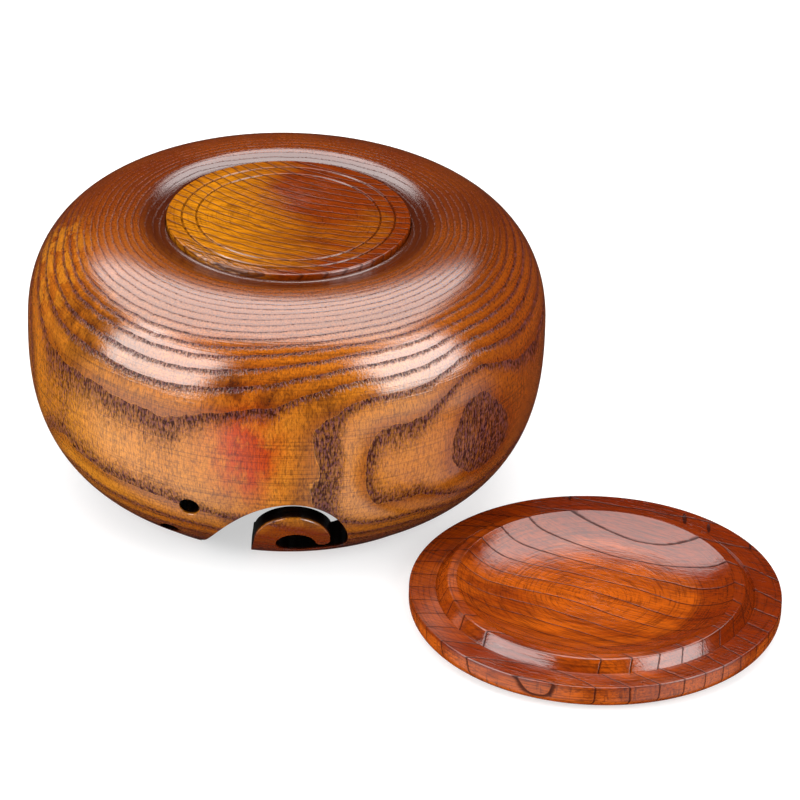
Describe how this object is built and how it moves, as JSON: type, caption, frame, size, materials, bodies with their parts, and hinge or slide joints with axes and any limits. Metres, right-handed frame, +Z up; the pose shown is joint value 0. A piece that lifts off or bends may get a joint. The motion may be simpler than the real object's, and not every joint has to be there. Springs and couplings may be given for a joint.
{
  "type": "lidded wooden bowl",
  "caption": "Squat turned wooden bowl stored upside down, with a scroll-shaped yarn slot and drilled holes in its wall, and a loose spigot lid lying beside it.",
  "frame": {"origin": "middle of the footprint of the upturned bowl and the lid beside it, on the surface they lie on", "axes": "+Z up, out of the bowl's foot and out of the lid's spigot; -Y towards the front, where the yarn slot is; +X to the right, towards the lid"},
  "size_m": [0.2248, 0.2164, 0.0834],
  "materials": {
    "body_wood": "glossy clear lacquer over red-brown stain, end-grain growth rings",
    "foot_wood": "glossy clear lacquer over amber stain, straight side grain",
    "lid_wood": "glossy clear lacquer over orange-red stain, side grain"
  },
  "bodies": {
    "bowl": {"bowl_body": "body_wood", "base_disc": "foot_wood"},
    "lid": {"lid": "lid_wood"}
  },
  "joints": [
    {"name": "lid_lift", "type": "slide", "parent": "bowl", "child": "lid", "axis": [0.3126, -0.2844, 0.9063], "range_m": [0, 0.11]}
  ]
}
